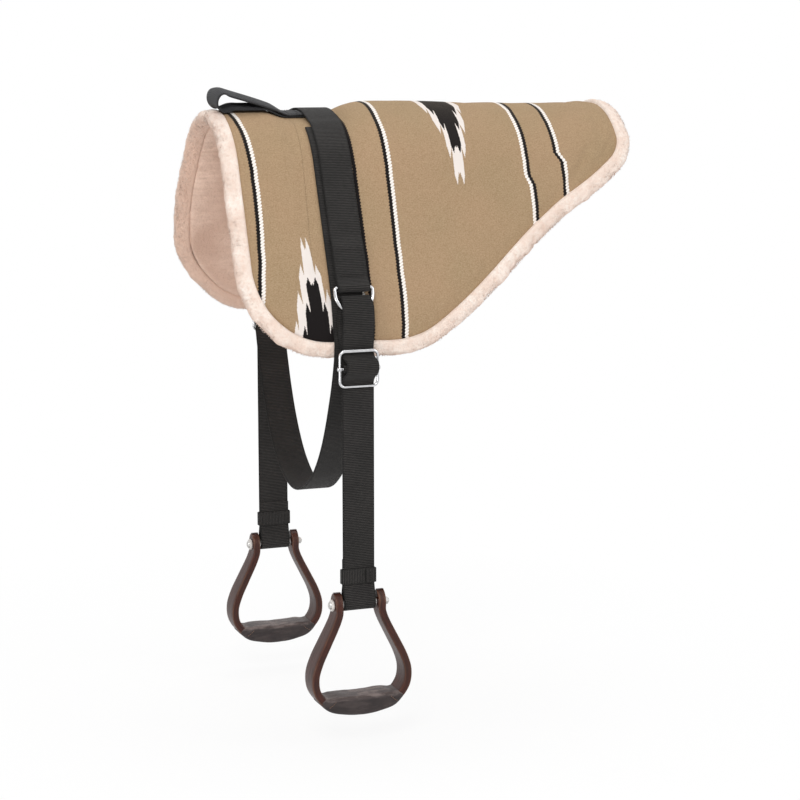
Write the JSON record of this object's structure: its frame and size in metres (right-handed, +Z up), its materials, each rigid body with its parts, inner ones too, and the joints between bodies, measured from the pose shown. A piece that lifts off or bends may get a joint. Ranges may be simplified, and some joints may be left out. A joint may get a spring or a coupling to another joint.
{
  "type": "bareback pad",
  "caption": "Padded saddle cloth shaped over a horse's back, with a fleece roll edge, webbing rigging, a grab handle, a girth loop and hanging stirrups.",
  "frame": {"origin": "on the spine line, on the underside of the fleece lining, below the middle of the rigging strap, where the pad rests on the horse's back", "axes": "+Z up, -X towards the horse's head along the spine, -Y the near side with the leading stirrup in the picture, +Y the far side"},
  "size_m": [0.68, 0.4678, 0.9409],
  "materials": {
    "cover": "woven wool blend",
    "felt": "pressed felt",
    "fleece": "pile fleece",
    "roll": "pile fleece",
    "webbing": "woven webbing",
    "steel": "bright plated",
    "nylon": "moulded",
    "wood": "dark stain, satin",
    "leather": "oiled, worn"
  },
  "bodies": {
    "pad": {"fleece_lining": "fleece", "felt_core": "felt", "top_cover": "cover", "edge_roll": "roll", "rigging_strap": "webbing", "girth_loop": "webbing", "grab_handle": "webbing"},
    "near_ring": {"near_d_ring": "steel"},
    "near_leather": {"near_stirrup_strap": "webbing", "near_buckle_frame": "steel", "near_buckle_bar": "steel"},
    "near_band": {"near_keeper": "webbing"},
    "near_stirrup": {"near_stirrup_bolt": "steel", "near_bolt_cup": "nylon", "near_bolt_washer": "steel", "near_bolt_nut": "steel", "near_bolt_sleeve": "steel", "near_stirrup_bow": "wood", "near_tread_block": "wood", "near_tread_cover": "leather"},
    "far_ring": {"far_d_ring": "steel"},
    "far_leather": {"far_stirrup_strap": "webbing", "far_buckle_frame": "steel", "far_buckle_bar": "steel"},
    "far_band": {"far_keeper": "webbing"},
    "far_stirrup": {"far_stirrup_bolt": "steel", "far_bolt_cup": "nylon", "far_bolt_washer": "steel", "far_bolt_nut": "steel", "far_bolt_sleeve": "steel", "far_stirrup_bow": "wood", "far_tread_block": "wood", "far_tread_cover": "leather"}
  },
  "joints": [
    {"name": "near_ring_flap", "type": "hinge", "parent": "pad", "child": "near_ring", "pos_m": [0, -0.19376, -0.23851], "axis": [-1, 0, 0], "range_deg": [0, 70]},
    {"name": "near_strap_swing", "type": "hinge", "parent": "near_ring", "child": "near_leather", "pos_m": [0, -0.19575, -0.24626], "axis": [0, -0.9686, 0.2486], "range_deg": [-12, 12]},
    {"name": "near_keeper_slide", "type": "slide", "parent": "near_leather", "child": "near_band", "axis": [0, 0, 1], "range_m": [0, 0.05]},
    {"name": "near_stirrup_pivot", "type": "hinge", "parent": "near_leather", "child": "near_stirrup", "pos_m": [0, -0.21071, -0.7187], "axis": [1, 0, 0], "range_deg": [-90, 90]},
    {"name": "far_ring_flap", "type": "hinge", "parent": "pad", "child": "far_ring", "pos_m": [0, 0.18392, -0.21153], "axis": [1, 0, 0], "range_deg": [0, 70]},
    {"name": "far_strap_swing", "type": "hinge", "parent": "far_ring", "child": "far_leather", "pos_m": [0, 0.18689, -0.21896], "axis": [0, 0.9286, 0.3711], "range_deg": [-12, 12]},
    {"name": "far_keeper_slide", "type": "slide", "parent": "far_leather", "child": "far_band", "axis": [0, 0, 1], "range_m": [0, 0.05]},
    {"name": "far_stirrup_pivot", "type": "hinge", "parent": "far_leather", "child": "far_stirrup", "pos_m": [0, 0.21071, -0.7187], "axis": [1, 0, 0], "range_deg": [-90, 90]}
  ]
}
